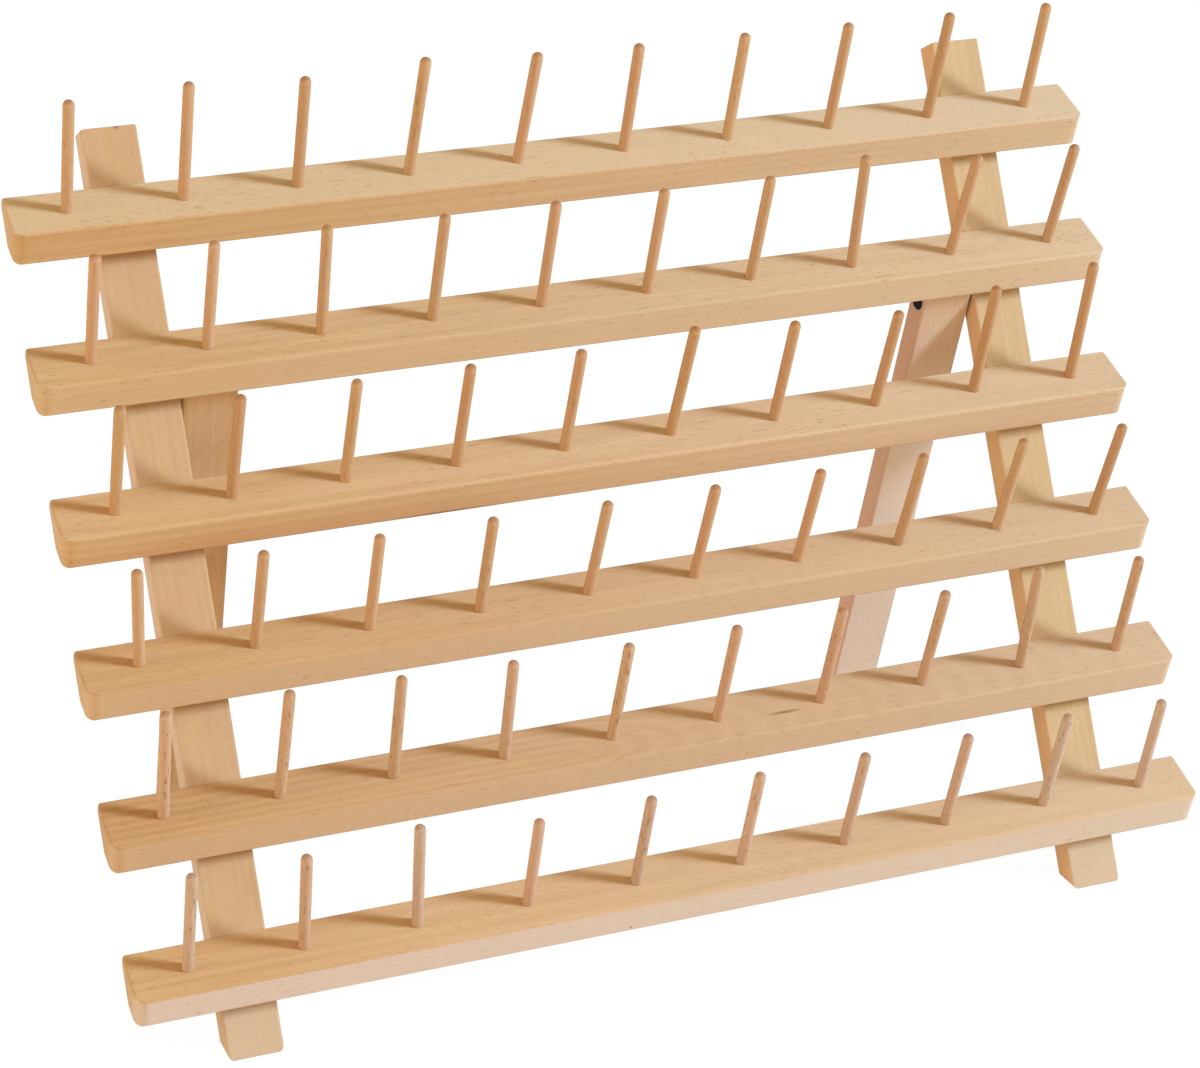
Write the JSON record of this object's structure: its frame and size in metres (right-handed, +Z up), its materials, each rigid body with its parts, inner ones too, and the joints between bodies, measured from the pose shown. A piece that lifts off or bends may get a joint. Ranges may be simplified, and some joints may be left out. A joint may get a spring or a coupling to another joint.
{
  "type": "thread spool rack",
  "caption": "Folding wooden rack for thread spools: sloping rails of dowel pegs on two leaning uprights, held by two swing-out rear legs.",
  "frame": {"origin": "on the floor, at the middle of the standing rack's box", "axes": "+X along the rails to the viewer's right, +Y to the back, +Z up"},
  "size_m": [0.4, 0.1918, 0.3074],
  "materials": {
    "beech_rail": "sanded, unvarnished",
    "beech_upright": "sanded, unvarnished",
    "beech_leg": "sanded, unvarnished",
    "dowel_peg": "turned dowel, unvarnished",
    "screw_steel": "zinc plated",
    "black_steel": "black oxide"
  },
  "bodies": {
    "rack": {"left_upright": "beech_upright", "right_upright": "beech_upright", "rail_1": "beech_rail", "rail_2": "beech_rail", "rail_3": "beech_rail", "rail_4": "beech_rail", "rail_5": "beech_rail", "rail_6": "beech_rail", "pegs_row_1": "dowel_peg", "pegs_row_2": "dowel_peg", "pegs_row_3": "dowel_peg", "pegs_row_4": "dowel_peg", "pegs_row_5": "dowel_peg", "pegs_row_6": "dowel_peg", "rail_screws_left": "screw_steel", "rail_screws_right": "screw_steel", "left_pivot_bolt": "black_steel", "right_pivot_bolt": "black_steel", "left_pivot_washer": "screw_steel", "right_pivot_washer": "screw_steel", "left_pivot_nut": "screw_steel", "right_pivot_nut": "screw_steel"},
    "left_leg": {"left_leg": "beech_leg"},
    "right_leg": {"right_leg": "beech_leg"}
  },
  "joints": [
    {"name": "left_leg_fold", "type": "hinge", "parent": "rack", "child": "left_leg", "pos_m": [-0.1397, 0.01349, 0.20077], "axis": [-1, 0, 0], "range_deg": [0, 46]},
    {"name": "right_leg_fold", "type": "hinge", "parent": "rack", "child": "right_leg", "pos_m": [0.1397, 0.01349, 0.20077], "axis": [-1, 0, 0], "range_deg": [0, 46]}
  ]
}
